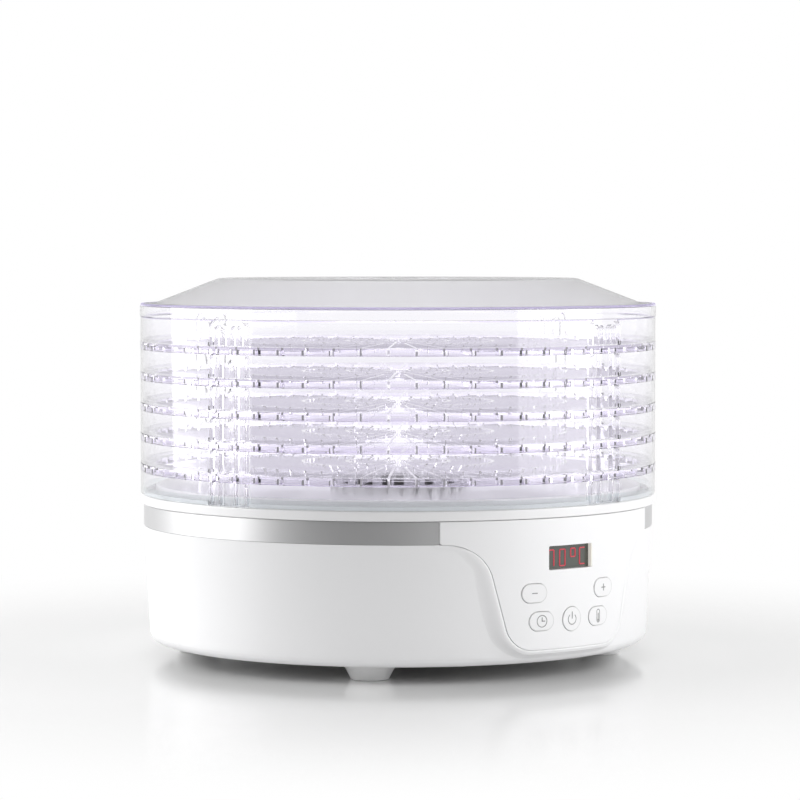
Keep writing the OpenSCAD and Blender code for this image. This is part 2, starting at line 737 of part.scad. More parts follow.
// Ribbed pocket inside the wall: a frame round two ribs on a tray, or round two arches on the lid
module lug(z0, top, arched) {
  depth = 3;
  intersection() {
    rotate([90, 0, 90]) linear_extrude(tray_r + 5) {
      lug_frame(lug_w / 2, z0, top, 4);
      if (arched) {
        for (side = [-1, 1]) translate([side * lug_w * 0.22, 0]) lug_frame(3.6, z0, top - 3, 3);
      } else {
        for (side = [-1, 1]) translate([side * lug_w * 0.21 - lug_t / 2, z0]) square([lug_t, top - z0 - 0.3]);
      }
    }
    ring(clear_in_r + 0.4, clear_in_r - depth, z0 - 1, top + 1);
  }
}

// The four pockets of one tray or of the lid
module lugs(z0, top, arched) {
  for (a = [0:90:270]) rotate(lug_turn - 90 + a) lug(z0, top, arched);
}

// Clear tray: wall below, spoked floor on top, keyed ring for the next tray and a small ring at the hub
module tray(index) {
  z0 = rim_top_z + seat + (tray_count - index) * pitch;
  floor_z = z0 + tray_h - grid_h;
  top = z0 + tray_h;
  color([0.86, 0.9, 0.95, 0.5])
  difference() {
    union() {
      rotate_extrude($fn = round_fn) polygon([
        [clear_in_r, z0], [tray_r - 0.3, z0], [tray_r - 0.3, floor_z - 0.6], [tray_r, floor_z], [tray_r, top],
        [key_out_r, top], [key_out_r, top + key_h], [key_in_r, top + key_h], [key_in_r, top],
        [tray_in_r, top], [tray_in_r, floor_z], [clear_in_r, floor_z]]);
      difference() {
        translate([0, 0, floor_z]) cylinder(r = tray_in_r + 1, h = grid_h, $fn = round_fn);
        for (row = floor_rows())
          for (i = [0:row[2] - 1]) rotate((i + 0.5) * 360 / row[2])
            translate([0, 0, floor_z - 1])
              linear_extrude(grid_h + 2) polygon(window_points(row[0], row[1], 180 / row[2], spoke_t));
      }
      translate([0, 0, floor_z]) cylinder(r = hub_r, h = grid_h + hub_up, $fn = small_fn);
      lugs(z0 + 0.4, floor_z + 0.5, false);
    }
    for (i = [0:spokes - 1]) rotate((i + 0.5) * 360 / spokes)
      translate([0, 0, floor_z - 1])
        linear_extrude(grid_h - rim_top_t + 1)
          polygon(window_points(tray_in_r + 2, clear_in_r - 0.2, 180 / spokes, rim_post_w));
    translate([0, 0, floor_z - 1]) cylinder(r = hub_r - 2.4, h = grid_h + hub_up + 2, $fn = small_fn);
    for (a = [0:90:270]) rotate(lug_turn - 90 + a)
      translate([key_in_r - 3, -lug_w / 2 - 1.5, top]) cube([8, lug_w + 3, key_h + 1]);
  }
}

// Clear lid: wall, ledge, cone and flat top with its ring of steam slots
module lid() {
  ledge_z = lid_z + lid_wall_h;
  step_z = lid_z + tray_h - grid_h + 1;
  top_z = ledge_z + cone_h;
  color([0.86, 0.9, 0.95, 0.5])
  difference() {
    union() {
      rotate_extrude($fn = round_fn) polygon([
        [clear_in_r, lid_z], [tray_r - 0.3, lid_z], [tray_r - 0.3, step_z], [tray_r, step_z + 0.5],
        [tray_r, ledge_z - 1], [tray_r - 0.8, ledge_z], [cone_low_r, ledge_z], [cone_top_r, top_z - 0.4],
        [cone_top_r - 1.5, top_z], [0, top_z], [0, top_z - clear_t], [cone_top_r - 1, top_z - clear_t],
        [cone_low_r - 0.8, ledge_z - clear_t], [clear_in_r - 1, ledge_z - clear_t],
        [clear_in_r - 1, step_z], [clear_in_r, step_z - 0.6]]);
      lugs(lid_z + 0.4, step_z - 0.2, true);
    }
    for (i = [0:lid_slots - 1]) rotate(i * 360 / lid_slots)
      translate([0, 0, top_z - clear_t - 1]) linear_extrude(clear_t + 2) polygon(window_points(18, 42, 90 / lid_slots, 1));
  }
}

base_housing();
top_deck();
trim_band();
control_panel();
display_window();
display_module();
control_board();
button("minus");  // button_minus
button("plus");  // button_plus
button("timer");  // button_timer
button("power");  // button_power
button("temperature");  // button_temperature
tact_switches();
board_screws();
power_board();
bottom_cover();
feet();
cover_screws();
motor_bracket();
bracket_screws();
fan_motor();
motor_shaft();
fan();
air_duct();
heater_frame();
heater_coils();
thermostat();
temperature_probe();
outlet_grille();
tray(1);  // tray_1
tray(2);  // tray_2
tray(3);  // tray_3
tray(4);  // tray_4
tray(5);  // tray_5
lid();
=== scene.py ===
import bpy
import json
import math
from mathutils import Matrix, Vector


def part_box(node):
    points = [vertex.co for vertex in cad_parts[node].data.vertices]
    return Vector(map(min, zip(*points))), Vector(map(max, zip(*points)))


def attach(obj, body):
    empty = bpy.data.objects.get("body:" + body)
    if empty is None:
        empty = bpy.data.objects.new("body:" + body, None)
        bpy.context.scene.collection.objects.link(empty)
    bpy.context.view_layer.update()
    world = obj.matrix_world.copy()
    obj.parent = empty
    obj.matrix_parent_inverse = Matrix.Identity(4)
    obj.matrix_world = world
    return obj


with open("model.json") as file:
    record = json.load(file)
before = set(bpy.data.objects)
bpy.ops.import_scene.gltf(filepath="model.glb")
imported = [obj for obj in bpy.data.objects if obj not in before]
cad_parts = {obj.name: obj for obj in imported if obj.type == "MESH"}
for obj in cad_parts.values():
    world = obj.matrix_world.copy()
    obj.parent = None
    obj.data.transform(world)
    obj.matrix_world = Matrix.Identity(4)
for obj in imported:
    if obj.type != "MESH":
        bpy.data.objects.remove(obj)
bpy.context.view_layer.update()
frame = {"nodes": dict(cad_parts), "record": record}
nodes = frame["nodes"]
print("frame loaded,", len(nodes), "nodes")


def deselectAll():
    if bpy.context.object and bpy.context.object.mode != "OBJECT":
        bpy.ops.object.mode_set(mode="OBJECT")
    bpy.ops.object.select_all(action="DESELECT")


# one socket of a node tree, so that shader maths reads as plain expressions
class Value:
    def __init__(self, tree, socket):
        self.tree = tree
        self.socket = socket

    def maths(self, operation, first, second):
        node = self.tree.nodes.new("ShaderNodeMath")
        node.operation = operation
        for place, value in enumerate((first, second)):
            if isinstance(value, Value):
                self.tree.links.new(value.socket, node.inputs[place])
            else:
                node.inputs[place].default_value = value
        return Value(self.tree, node.outputs[0])

    def __add__(self, other):
        return self.maths("ADD", self, other)

    def __radd__(self, other):
        return self.maths("ADD", other, self)

    def __sub__(self, other):
        return self.maths("SUBTRACT", self, other)

    def __rsub__(self, other):
        return self.maths("SUBTRACT", other, self)

    def __mul__(self, other):
        return self.maths("MULTIPLY", self, other)

    def __rmul__(self, other):
        return self.maths("MULTIPLY", other, self)

    def __gt__(self, other):
        return self.maths("GREATER_THAN", self, other)

    def __lt__(self, other):
        return self.maths("LESS_THAN", self, other)

    def larger(self, other):
        return self.maths("MAXIMUM", self, other)


# the nodes of a material or of the world
class Shading:
    def __init__(self, tree):
        self.tree = tree

    def add(self, kind, settings=None, sockets=None, out=0):
        node = self.tree.nodes.new("ShaderNode" + kind)
        for key, value in (settings or {}).items():
            setattr(node, key, value)
        for key, value in (sockets or {}).items():
            if isinstance(value, Value):
                self.tree.links.new(value.socket, node.inputs[key])
            else:
                node.inputs[key].default_value = value
        return Value(self.tree, node.outputs[out])

    def rays(self, *kinds):
        path = self.tree.nodes.new("ShaderNodeLightPath")
        return [Value(self.tree, path.outputs["Is " + kind + " Ray"]) for kind in kinds]

    def brightness(self, way):
        # how bright the room is in a direction: dark towards the camera, bright everywhere else
        back = -fromCamera(room["darkest"], 1)
        facing = self.add("VectorMath", {"operation": "DOT_PRODUCT"}, {0: way, 1: back}, out=1)
        return self.add("MapRange", {}, {"Value": facing, "From Min": -1.0, "From Max": room["turning"],
                                         "To Min": room["dark"], "To Max": room["bright"]})


# a material with its Principled shader, to which patterns are added
class Finish(Shading):
    def __init__(self, name, **constants):
        self.material = bpy.data.materials.new(name)
        self.material.use_nodes = True
        super().__init__(self.material.node_tree)
        self.shader = self.tree.nodes["Principled BSDF"]
        for socket, value in constants.items():
            self.shader.inputs[socket.replace("_", " ")].default_value = value

    def feed(self, socket, value):
        self.tree.links.new(value.socket, self.shader.inputs[socket])

    def place(self):
        return self.add("TexCoord", out="Object")

    def noise(self, scale, detail=2.0, stretch=None):
        place = self.place()
        if stretch:
            place = self.add("Mapping", sockets={"Vector": place, "Scale": stretch})
        return self.add("TexNoise", sockets={"Vector": place, "Scale": scale, "Detail": detail})

    def tint(self, factor, low, high):
        return self.add("Mix", {"data_type": "RGBA"}, {"Factor": factor, 6: low, 7: high}, out=2)

    def bump(self, height, strength, distance):
        sockets = {"Height": height, "Strength": strength, "Distance": distance}
        self.feed("Normal", self.add("Bump", sockets=sockets))


def tone(value, cool=0.0):
    # a grey, with a little more blue when it is cool
    return (value, value, value * (1 + cool), 1.0)


# camera, light and floor

camera = {"azimuth": -40.0, "distance": 2.06, "height": 0.260, "aimHeight": 0.1627, "aimRight": 0.0013,
          "lens": 144.5, "sensor": 36}


def fromCamera(turn, distance, height=0.0):
    # a point at an angle to the right of the camera's own direction, seen from above
    angle = math.radians(camera["azimuth"] + turn)
    return Vector((math.sin(angle) * distance, -math.cos(angle) * distance, height))


def lookAt(thing, aim):
    thing.rotation_mode = "QUATERNION"
    thing.rotation_quaternion = (aim - thing.location).to_track_quat("-Z", "Y")


def makeCamera():
    data = bpy.data.cameras.new("camera")
    data.lens = camera["lens"]
    data.sensor_width = camera["sensor"]
    view = bpy.data.objects.new("camera", data)
    bpy.context.scene.collection.objects.link(view)
    view.location = fromCamera(0, camera["distance"], camera["height"])
    lookAt(view, fromCamera(90, camera["aimRight"], camera["aimHeight"]))
    bpy.context.scene.camera = view


lampAim = 0.12
lights = [
    {"name": "softboxLeft", "turn": -89, "distance": 1.4, "height": 0.62, "width": 1.5, "tall": 1.3,
     "power": 19.5},
    {"name": "softboxRight", "turn": 72, "distance": 1.4, "height": 0.62, "width": 1.2, "tall": 1.3,
     "power": 13.5},
    {"name": "topLight", "turn": 180, "distance": 0.35, "height": 1.9, "width": 1.4, "tall": 1.4,
     "power": 8},
]


def makeLights():
    for light in lights:
        data = bpy.data.lights.new(light["name"], "AREA")
        data.shape = "RECTANGLE"
        data.size = light["width"]
        data.size_y = light["tall"]
        data.energy = light["power"]
        lamp = bpy.data.objects.new(light["name"], data)
        bpy.context.scene.collection.objects.link(lamp)
        lamp.location = fromCamera(light["turn"], light["distance"], light["height"])
        lookAt(lamp, Vector((0, 0, lampAim)))


# darkest is the angle from the camera at which the room is darkest, shade what lights the matt surfaces
room = {"darkest": -18, "turning": -0.45, "dark": 0.25, "bright": 0.95, "shade": 0.45, "through": 0.97}


def makeWorld():
    # white where the camera looks at it, shaped for reflections, even and softer for matt surfaces
    world = bpy.data.worlds.new("studio")
    bpy.context.scene.world = world
    world.use_nodes = True
    studio = Shading(world.node_tree)
    behind = studio.brightness(studio.add("TexCoord"))
    direct, glossy, through = studio.rays("Camera", "Glossy", "Transmission")
    shown = glossy.larger(through)
    rest = (1.0 - through) * behind + through * room["through"]
    level = direct + (1.0 - direct) * (shown * rest + (1.0 - shown) * room["shade"])
    background = studio.tree.nodes["Background"]
    studio.tree.links.new(level.socket, background.inputs["Strength"])
    background.inputs["Color"].default_value = (1, 1, 1, 1)


floorLook = {"size": 60.0, "white": 0.8, "rough": 0.1, "ior": 1.45, "near": 0.22, "far": 0.56}


def makeFloor():
    # glossy white round the object, fading to the white of the background
    deselectAll()
    bpy.ops.mesh.primitive_plane_add(size=floorLook["size"])
    floor = bpy.context.object
    floor.name = "floor"
    finish = Finish("floorWhite", Base_Color=tone(floorLook["white"]), Roughness=floorLook["rough"],
                    IOR=floorLook["ior"])
    reach = finish.add("VectorMath", {"operation": "LENGTH"}, {0: finish.place()}, out=1)
    fade = finish.add("MapRange", {"interpolation_type": "SMOOTHSTEP"},
                      {"Value": reach, "From Min": floorLook["near"], "From Max": floorLook["far"]})
    way = finish.add("VectorMath", {"operation": "NORMALIZE"}, {0: finish.place()})
    direct, through = finish.rays("Camera", "Transmission")
    seen = direct + through
    white = finish.add("Emission", sockets={"Color": seen.larger(finish.brightness(way))})
    gloss = Value(finish.tree, finish.shader.outputs[0])
    blend = finish.add("MixShader", sockets={0: fade, 1: gloss, 2: white})
    finish.tree.links.new(blend.socket, finish.tree.nodes["Material Output"].inputs[0])
    floor.data.materials.append(finish.material)


makeCamera()
makeLights()
makeWorld()
makeFloor()
bpy.context.scene.view_settings.view_transform = "Standard"
print("stage set")


# finishes of the CAD's pieces

def mouldedPlastic(name, low, high, rough, grain=900, depth=0.00004, coat=0.0):
    # faint clouding in the colour and a fine moulded grain
    finish = Finish(name, IOR=1.5, Coat_Weight=coat, Coat_Roughness=0.08)
    cloud = finish.noise(7.0, 3.0)
    finish.feed("Base Color", finish.tint(cloud, low, high))
    finish.feed("Roughness", rough + cloud * 0.06)
    finish.bump(finish.noise(grain), 0.12, depth)
    return finish.material


def satinSilver():
    # silver lacquer: a soft sheen with a very fine sparkle
    finish = Finish("satinSilver", Metallic=1.0, IOR=1.5)
    flakes = finish.noise(2500.0, 1.0)
    cloud = finish.noise(5.0)
    finish.feed("Base Color", finish.tint(flakes, tone(0.59, 0.01), tone(0.63, 0.01)))
    finish.feed("Roughness", 0.36 + cloud * 0.05)
    finish.bump(flakes, 0.05, 0.00002)
    return finish.material


clearLook = {"ior": 1.3, "haze": 40.0, "low": (0.985, 0.98, 1.0, 1), "high": (0.97, 0.965, 0.99, 1)}


def clearPlastic(name, glow):
    # a bare clear moulding, and what its tints are placed by: reach from the axis, height and haze
    finish = Finish(name, IOR=clearLook["ior"], Transmission_Weight=1.0, Emission_Strength=glow)
    place = finish.place()
    flat = finish.add("VectorMath", {"operation": "MULTIPLY"}, {0: place, 1: (1, 1, 0)})
    reach = finish.add("VectorMath", {"operation": "LENGTH"}, {0: flat}, out=1)
    height = finish.add("SeparateXYZ", sockets={0: place}, out=2)
    haze = finish.noise(clearLook["haze"], 3.0)
    plain = finish.tint(haze, clearLook["low"], clearLook["high"])
    return finish, reach, height, haze, plain


# the rim bands and skirt tint are painted light and shade; strength is that of the painted inner glow
trayLook = {"rough": 0.02, "wall": 0.0097, "bandUp": 0.01405, "bandTall": 0.0047, "bandLine": 0.0011,
            "bandFill": 0.45, "lilac": (0.86, 0.83, 0.92, 1), "skirtUp": 0.00515,
            "skirtShade": (0.88, 0.9, 0.92, 1), "strength": 0.06, "paintedInnerGlow": (0.95, 0.92, 1.0, 1)}


def clearTray():
    # painted lilac rim bands, stronger at the edges that catch light; painted shade on the lowest skirt;
    # painted inner glow
    look = trayLook
    low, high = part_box("tray_5")
    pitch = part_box("tray_4")[0].z - low.z
    wall = high.x - look["wall"]
    finish, reach, height, haze, plain = clearPlastic("clearTray", look["strength"])
    up = height - (low.z + look["bandUp"])
    step = finish.add("Math", {"operation": "WRAP"}, {0: up, 1: pitch, 2: 0.0})
    # painted lilac band round each rim, tinted more strongly along its top and bottom edges, where the clear
    # edges catch light
    inBand = (step < look["bandTall"]) * (reach > wall)
    paintedEdgeLines = (step < look["bandLine"]) + (step > look["bandTall"] - look["bandLine"])
    paintedBand = inBand * (look["bandFill"] + (1 - look["bandFill"]) * paintedEdgeLines)
    colour = finish.tint(paintedBand, plain, look["lilac"])
    # painted shade: the lowest tray's skirt is greyed and cooled where it shows the shaded deck below it
    colour = finish.tint(height < low.z + look["skirtUp"], colour, look["skirtShade"])
    finish.feed("Base Color", colour)
    # a painted glow inside the rims, standing in for light gathered by the many clear edges
    finish.feed("Emission Color", finish.tint(reach < wall, (0, 0, 0, 1), look["paintedInnerGlow"]))
    finish.feed("Roughness", look["rough"] + haze * 0.02)
    return finish.material


# strength is that of the rim line's painted glow
lidLook = {"rough": 0.03, "coneDown": 0.01645, "frost": 0.3, "cone": (0.95, 0.948, 0.953, 1),
           "rimFrom": 0.01725, "rimTo": 0.01555, "rimIn": 0.0025, "rim": (0.5, 0.45, 0.7, 1),
           "strength": 0.336, "paintedRimGlow": (0.714, 0.625, 1.0, 1)}


def clearLid():
    # frosted cone, and a thin violet line where the ledge's rim gathers light: a painted highlight that glows
    look = lidLook
    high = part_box("lid")[1]
    finish, reach, height, haze, plain = clearPlastic("clearLid", look["strength"])
    cone = height > high.z - look["coneDown"]
    # painted highlight: the ledge's rim line is tinted violet and glows
    inRim = (height > high.z - look["rimFrom"]) * (height < high.z - look["rimTo"])
    rim = inRim * (reach > high.x - look["rimIn"])
    colour = finish.tint(cone, plain, look["cone"])
    finish.feed("Base Color", finish.tint(rim, colour, look["rim"]))
    finish.feed("Emission Color", finish.tint(rim, (0, 0, 0, 1), look["paintedRimGlow"]))
    finish.feed("Roughness", look["rough"] + haze * 0.02 + cone * look["frost"])
    return finish.material


def tintedLens():
    finish = Finish("tintedLens", IOR=1.5, Coat_Weight=0.6, Coat_Roughness=0.03)
    smear = finish.noise(30.0, 3.0)
    finish.feed("Base Color", finish.tint(smear, (0.058, 0.062, 0.052, 1), (0.075, 0.08, 0.067, 1)))
    finish.feed("Roughness", 0.12 + smear * 0.1)
    return finish.material


def plainMetal(name, low, high, rough):
    finish = Finish(name, Metallic=1.0)
    wear = finish.noise(120.0, 4.0)
    finish.feed("Base Color", finish.tint(wear, low, high))
    finish.feed("Roughness", rough + wear * 0.15)
    finish.bump(wear, 0.1, 0.0001)
    return finish.material


def circuitBoard():
    finish = Finish("circuitBoard", IOR=1.5, Coat_Weight=0.3)
    sockets = {"Vector": finish.place(), "Scale": 180.0}
    track = finish.add("TexVoronoi", {"feature": "DISTANCE_TO_EDGE"}, sockets) < 0.08
    finish.feed("Base Color", finish.tint(track, (0.02, 0.16, 0.07, 1), (0.05, 0.28, 0.12, 1)))
    finish.feed("Roughness", 0.35 + track * 0.1)
    finish.bump(track, 0.2, 0.0001)
    return finish.material


def micaSheet():
    finish = Finish("micaSheet", IOR=1.55)
    layers = finish.noise(60.0, 5.0, stretch=(1.0, 1.0, 6.0))
    finish.feed("Base Color", finish.tint(layers, (0.42, 0.33, 0.2, 1), (0.66, 0.55, 0.38, 1)))
    finish.feed("Roughness", 0.35 + layers * 0.25)
    finish.bump(layers, 0.2, 0.0002)
    return finish.material


finishes = {
    "white_housing": mouldedPlastic("housingWhite", tone(0.86, 0.01), tone(0.89, 0.01), 0.3, coat=0.15),
    "white_deck": mouldedPlastic("deckWhite", tone(0.86, 0.01), tone(0.89, 0.01), 0.16, coat=0.3),
    "white_panel": mouldedPlastic("panelWhite", tone(0.87, 0.01), tone(0.9, 0.01), 0.3, coat=0.1),
    "white_cover": mouldedPlastic("coverWhite", tone(0.78), tone(0.82), 0.45, grain=500, depth=0.0001),
    "white_foot": mouldedPlastic("footWhite", tone(0.84), tone(0.87), 0.4),
    "button_white": mouldedPlastic("buttonWhite", tone(0.86, 0.01), tone(0.89, 0.01), 0.35),
    "silver_trim": satinSilver(),
    "display_tint": tintedLens(),
    "display_case": mouldedPlastic("caseBlack", tone(0.03), tone(0.045), 0.45),
    "circuit_board": circuitBoard(),
    "switch_black": mouldedPlastic("switchBlack", tone(0.02), tone(0.03), 0.4),
    "screw_steel": plainMetal("screwZinc", tone(0.55), tone(0.68), 0.25),
    "bracket_steel": plainMetal("bracketSteel", tone(0.52), tone(0.64), 0.3),
    "motor_can": plainMetal("motorCan", tone(0.58), tone(0.7), 0.22),
    "duct_plastic": mouldedPlastic("ductGrey", tone(0.62), tone(0.68), 0.45),
    "mica": micaSheet(),
    "heating_wire": plainMetal("heatingWire", (0.28, 0.2, 0.16, 1), (0.42, 0.32, 0.27, 1), 0.4),
    "probe_black": mouldedPlastic("probeBlack", tone(0.03), tone(0.04), 0.35),
    "fan_plastic": mouldedPlastic("fanGrey", tone(0.08), tone(0.11), 0.4),
    "clear_tray": clearTray(),
    "clear_lid": clearLid(),
}


def paintNodes():
    slotOf = {row["node"]: row["material_slot"] for row in frame["record"]["subparts"]}
    for name, node in nodes.items():
        node.data.materials.clear()
        node.data.materials.append(finishes[slotOf[name]])


paintNodes()
print("finishes made:", len(finishes))


# making pieces

def finishPiece(piece, name, finish, body, smooth=35):
    # modifiers applied, place in the mesh, faces outwards, one finish, riding on its body
    deselectAll()
    piece.name = name
    piece.data.name = name
    piece.select_set(True)
    bpy.context.view_layer.objects.active = piece
    bpy.ops.object.convert(target="MESH")
    piece = bpy.context.object
    bpy.ops.object.transform_apply(location=True, rotation=True, scale=True)
    bpy.ops.object.mode_set(mode="EDIT")
    bpy.ops.mesh.select_all(action="SELECT")
    bpy.ops.mesh.remove_doubles(threshold=0.000002)
    bpy.ops.mesh.normals_make_consistent(inside=False)
    bpy.ops.object.mode_set(mode="OBJECT")
    bpy.ops.object.shade_smooth_by_angle(angle=math.radians(smooth))
    piece.data.materials.clear()
    piece.data.materials.append(finish)
    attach(piece, body)


def joined(parts):
    deselectAll()
    for part in parts:
        part.select_set(True)
    bpy.context.view_layer.objects.active = parts[0]
    if len(parts) > 1:
        bpy.ops.object.join()
    return bpy.context.object


def bar(x, z, wide, tall, thick, roundness):
    # a thin bar in the XZ plane, with its four corners rounded
    deselectAll()
    bpy.ops.mesh.primitive_cube_add(size=1)
    piece = bpy.context.object
    piece.scale = (wide, thick, tall)
    bpy.ops.object.transform_apply(location=False, rotation=False, scale=True)
    bpy.ops.object.mode_set(mode="EDIT")
    bpy.ops.mesh.select_all(action="DESELECT")
    bpy.ops.object.mode_set(mode="OBJECT")
    for edge in piece.data.edges:
        one, two = (piece.data.vertices[v].co for v in edge.vertices)
        edge.select = abs(one.y - two.y) > thick / 2
    bpy.ops.object.mode_set(mode="EDIT")
    bpy.ops.mesh.bevel(offset=min(wide, tall) * roundness, segments=3, affect="EDGES")
    bpy.ops.object.mode_set(mode="OBJECT")
    piece.location = (x, 0, z)
    bpy.ops.object.transform_apply(location=True, rotation=True, scale=True)
    return piece


def hoop(x, z, radius, line, flat, wide=0.0, gap=0.0):
    # a thin ring in the XZ plane, drawn out to an oval, or open at the top over an angle
    deselectAll()
    bpy.ops.mesh.primitive_torus_add(major_radius=radius, minor_radius=line / 2, major_segments=72,
                                     minor_segments=8, rotation=(math.radians(90), 0, 0))
    piece = bpy.context.object
    bpy.ops.object.transform_apply(location=True, rotation=True, scale=True)
    if gap:
        bpy.ops.object.mode_set(mode="EDIT")
        bpy.ops.mesh.select_all(action="DESELECT")
        bpy.ops.object.mode_set(mode="OBJECT")
        for face in piece.data.polygons:
            angle = math.degrees(math.atan2(face.center.x, face.center.z))
            face.select = abs(angle) < gap / 2
        bpy.ops.object.mode_set(mode="EDIT")
        bpy.ops.mesh.delete(type="FACE")
        bpy.ops.mesh.select_all(action="SELECT")
        bpy.ops.mesh.fill_holes(sides=0)
        bpy.ops.object.mode_set(mode="OBJECT")
    for vertex in piece.data.vertices:
        vertex.co.x += math.copysign(wide / 2, vertex.co.x) if wide else 0
        vertex.co.y *= flat
    piece.location = (x, 0, z)
    bpy.ops.object.transform_apply(location=True, rotation=True, scale=True)
    return piece


def wrapOn(piece, radius):
    # lays a drawing in the XZ plane on an upright cylinder, facing -Y
    for vertex in piece.data.vertices:
        x = vertex.co.x
        vertex.co.y -= math.sqrt(radius ** 2 - x ** 2)


# soft moulding of the housing round the panel

panelLow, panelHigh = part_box("control_panel")
panelRadius = -panelLow.y
seam = 0.0002

# ramp is the moulding's section: the way out from the panel's edge, and the share of the step from the
# wall up to the panel's face
moulding = {"shoulder": panelHigh.x - seam, "waist": 0.0604, "low": 0.043, "foot": panelLow.z,
            "top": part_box("trim_band")[0].z - seam, "sweep": 0.028, "corner": 0.018,
            "wallTop": 0.1628, "wallLow": 0.1593, "edge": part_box("base_housing")[0].z, "edgeRound": 0.007,
            "step": 0.002, "fade": 0.022, "sunk": 0.25, "narrow": 0.5, "thick": 0.0012, "smooth": 60,
            "ramp": [(0.0003, 0.78), (0.0006, 0.93), (0.0012, 0.985), (0.002, 1.0), (0.0032, 0.97),
                     (0.0044, 0.86), (0.0056, 0.68), (0.0068, 0.47), (0.008, 0.28), (0.0092, 0.13),
                     (0.0104, 0.03), (0.0118, -0.06)]}


def turned(before, corner, after, radius, steps=16):
    # points of the arc that rounds a corner
    back = (before - corner).normalized()
    on = (after - corner).normalized()
    half = back.angle(on) / 2
    centre = corner + (back + on).normalized() * radius / math.sin(half)
    first = corner + back * radius / math.tan(half) - centre
    last = corner + on * radius / math.tan(half) - centre
    return [centre + first.slerp(last, i / steps).normalized() * radius for i in range(steps + 1)]


def evenly(points, step):
    # the same line with points at equal distances
    spaced = [points[0]]
    carry = 0.0
    for one, two in zip(points, points[1:]):
        length = (two - one).length
        at = step - carry
        while at <= length:
            spaced.append(one.lerp(two, at / length))
            at += step
        carry = (carry + length) % step
    return spaced + [points[-1]]


def panelEdge():
    # the panel's outline from shoulder to shoulder, the left half first and then its mirror image
    m = moulding
    shoulder = Vector((-m["shoulder"], 0, m["top"]))
    waist = Vector((-m["waist"], 0, m["top"]))
    low = Vector((-m["low"], 0, m["foot"]))
    across = Vector((m["low"], 0, m["foot"]))
    left = [shoulder] + turned(shoulder, waist, low, m["sweep"]) + turned(waist, low, across, m["corner"])
    right = [Vector((-p.x, 0, p.z)) for p in reversed(left)]
    return evenly(left + right, m["step"])


def wallRadius(z):
    # the housing's wall leans out a little, above a rounded bottom edge
    m = moulding
    straight = m["edge"] + m["edgeRound"]
    if z < straight:
        drop = min(straight - z, m["edgeRound"])
        return m["wallLow"] - m["edgeRound"] + math.sqrt(m["edgeRound"] ** 2 - drop ** 2)
    return m["wallLow"] + (m["wallTop"] - m["wallLow"]) * (z - straight) / (m["top"] - straight)


def makeMoulding():
    m = moulding
    edge = panelEdge()
    last = len(edge) - 1
    rows = len(m["ramp"]) - 1
    deselectAll()
    bpy.ops.mesh.primitive_grid_add(x_subdivisions=last, y_subdivisions=rows, size=1)
    piece = bpy.context.object
    for vertex in piece.data.vertices:
        i = round((vertex.co.x + 0.5) * last)
        j = round((vertex.co.y + 0.5) * rows)
        along = edge[min(i + 1, last)] - edge[max(i - 1, 0)]
        outward = Vector((along.z, 0, -along.x)).normalized()
        away, rise = m["ramp"][j]
        # narrower below the panel, and sinking into the wall towards both ends
        point = edge[i] + outward * away * (1 - m["narrow"] * max(0.0, -outward.z))
        near = min(1.0, min(i, last - i) * m["step"] / m["fade"])
        rise = (rise + m["sunk"]) * near * near * (3 - 2 * near) - m["sunk"]
        wall = wallRadius(point.z)
        radius = wall + (panelRadius - wall) * rise
        vertex.co = (point.x, -math.sqrt(radius ** 2 - point.x ** 2), point.z)
    thicken = piece.modifiers.new("thickness", "SOLIDIFY")
    thicken.thickness = m["thick"]
    thicken.offset = -1 if piece.data.polygons[0].normal.y < 0 else 1
    finishPiece(piece, "panelMoulding", finishes["white_housing"], "base", m["smooth"])


makeMoulding()
print("panel moulding made")


# keys: outlines and printed signs

keys = {"flange": 0.0024, "face": panelRadius + 0.0005, "outline": 0.00042, "inset": 0.00024, "flat": 0.35}
signs = {"line": 0.00058, "depth": 0.00016, "round": 0.3, "flat": 0.3,
         "minusWide": 0.0038, "plusWide": 0.0039, "plusTall": 0.0043,
         "clockRadius": 0.0035, "minuteHand": 0.0026, "minuteUp": 0.0011, "hourHand": 0.0023,
         "hourRight": 0.001, "powerRadius": 0.0032, "powerDown": 0.0002, "powerGap": 75,
         "powerBar": 0.0043, "powerBarUp": 0.0022, "tubeRadius": 0.0013, "tubeHalf": 0.0026,
         "mercury": 0.0048, "mercuryDown": 0.0006, "bulb": 0.0005}
greyPrint = mouldedPlastic("greyPrint", tone(0.27), tone(0.31), 0.5)
greyLine = mouldedPlastic("greyLine", tone(0.68), tone(0.72), 0.5)


def keyPlace(name):
    # the middle, width and height of a key's face, without the flange behind the panel
    low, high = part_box("button_" + name)
    middle = (low + high) / 2
    return middle.x, middle.z, high.x - low.x - keys["flange"], high.z - low.z - keys["flange"]


def stroke(x, z, wide=None, tall=None):
    # a printed bar, as wide and as tall as the line where no length is given
    return bar(x, z, wide or signs["line"], tall or signs["line"], signs["depth"], signs["round"])


def ring(z, radius, gap=0.0):
    return hoop(0, z, radius, signs["line"], signs["flat"], gap=gap)


def sign(name, parts):
    # parts of a sign about the key's middle, laid on the key's curved face
    x, z = keyPlace(name)[:2]
    piece = joined(parts)
    for vertex in piece.data.vertices:
        vertex.co.x += x
        vertex.co.z += z
    wrapOn(piece, keys["face"])
    finishPiece(piece, "sign_" + name, greyPrint, "key_" + name)


def outline(name):
    x, z, wide, tall = keyPlace(name)
    piece = hoop(x, z, tall / 2 - keys["inset"], keys["outline"], keys["flat"], wide=wide - tall)
    wrapOn(piece, keys["face"])
    finishPiece(piece, "outline_" + name, greyLine, "key_" + name)


def thermometerTube():
    tube = ring(0, signs["tubeRadius"])
    for vertex in tube.data.vertices:
        vertex.co.z += signs["tubeHalf"] if vertex.co.z > 0 else -signs["tubeHalf"]
    return tube


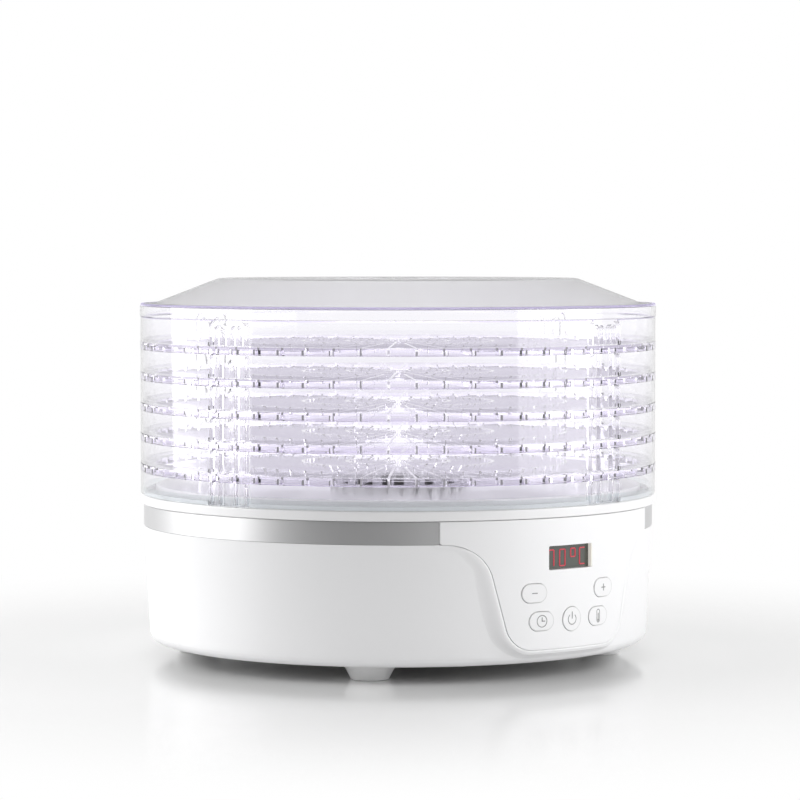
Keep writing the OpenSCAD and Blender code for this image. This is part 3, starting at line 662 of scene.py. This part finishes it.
def makeSigns():
    s = signs
    sign("minus", [stroke(0, 0, wide=s["minusWide"])])
    sign("plus", [stroke(0, 0, wide=s["plusWide"]), stroke(0, 0, tall=s["plusTall"])])
    sign("timer", [ring(0, s["clockRadius"]), stroke(0, s["minuteUp"], tall=s["minuteHand"]),
                   stroke(s["hourRight"], 0, wide=s["hourHand"])])
    sign("power", [ring(-s["powerDown"], s["powerRadius"], s["powerGap"]),
                   stroke(0, s["powerBarUp"], tall=s["powerBar"])])
    sign("temperature", [thermometerTube(), stroke(0, -s["mercuryDown"], tall=s["mercury"]),
                         ring(-s["tubeHalf"], s["bulb"])])


makeSigns()
for name in ("minus", "plus", "timer", "power", "temperature"):
    outline(name)
print("key signs made")


# display

# each mark has its place from the window's middle, its width and height, and the strokes that are lit
digits = {"out": 0.00012, "line": 0.00075, "thick": 0.0002, "round": 0.35, "fill": 0.98, "tickUp": 0.72,
          "tickTall": 0.55, "glow": 0.75, "unlit": (0.1, 0.03, 0.03, 1),
          "marks": [(-0.0133, -0.0004, 0.0050, 0.0106, "top upperRight lowerRight tick"),
                    (-0.0042, -0.0005, 0.0052, 0.0106,
                     "top upperRight lowerRight bottom lowerLeft upperLeft"),
                    (0.0045, 0.0021, 0.0044, 0.0058, "top right left bottom"),
                    (0.0121, -0.0003, 0.0049, 0.0106, "top bottom lowerLeft upperLeft")]}


def glowingRed():
    finish = Finish("glowingRed", Base_Color=digits["unlit"], Roughness=0.4, Emission_Strength=digits["glow"])
    shimmer = finish.noise(300.0)
    finish.feed("Emission Color", finish.tint(shimmer, (0.62, 0.028, 0.06, 1), (0.7, 0.05, 0.09, 1)))
    return finish.material


def makeDigits():
    low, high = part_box("display_window")
    middle = (low + high) / 2
    line = digits["line"]
    parts = []
    for x, z, wide, tall, lit in digits["marks"]:
        w = (wide - line) / 2
        h = (tall - line) / 2
        spots = {"top": (0, h, 2 * w, line), "bottom": (0, -h, 2 * w, line),
                 "left": (-w, 0, line, 2 * h), "right": (w, 0, line, 2 * h),
                 "upperLeft": (-w, h / 2, line, h), "lowerLeft": (-w, -h / 2, line, h),
                 "upperRight": (w, h / 2, line, h), "lowerRight": (w, -h / 2, line, h),
                 "tick": (-w, h * digits["tickUp"], line, h * digits["tickTall"])}
        for spot in lit.split():
            atX, atZ, sideX, sideZ = spots[spot]
            parts.append(bar(middle.x + x + atX, middle.z + z + atZ, sideX * digits["fill"],
                             sideZ * digits["fill"], digits["thick"], digits["round"]))
    piece = joined(parts)
    for vertex in piece.data.vertices:
        vertex.co.y += low.y - digits["out"]
    finishPiece(piece, "displayDigits", glowingRed(), "base")


# glow is the strength of the reveal's painted light
reveal = {"thick": 0.0003, "back": 0.0001, "short": 0.0004, "glow": 0.35}


def paintedLitWall():
    # a pale side wall with a painted glow, as if lit from the left
    finish = Finish("paintedLitReveal", Roughness=0.4, IOR=1.5, Emission_Strength=reveal["glow"])
    cloud = finish.noise(60.0)
    finish.feed("Base Color", finish.tint(cloud, (0.86, 0.85, 0.78, 1), (0.9, 0.89, 0.82, 1)))
    finish.feed("Emission Color", finish.tint(cloud, (0.88, 0.86, 0.78, 1), (0.92, 0.9, 0.83, 1)))
    return finish.material


def makeReveal():
    # pale liner on the right side of the display's recess, from the lens out to the panel's face, glowing:
    # painted light for that side wall lit from the left
    low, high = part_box("display_window")
    side = high.x - reveal["thick"] / 2
    front = -math.sqrt((panelRadius - reveal["back"]) ** 2 - side ** 2)
    deselectAll()
    bpy.ops.mesh.primitive_cube_add(size=1)
    piece = bpy.context.object
    piece.scale = (reveal["thick"], low.y - front, high.z - low.z - reveal["short"])
    piece.location = (side, (low.y + front) / 2, (low.z + high.z) / 2)
    finishPiece(piece, "displayRevealPaintedLight", paintedLitWall(), "base")


makeDigits()
makeReveal()
print("display made")
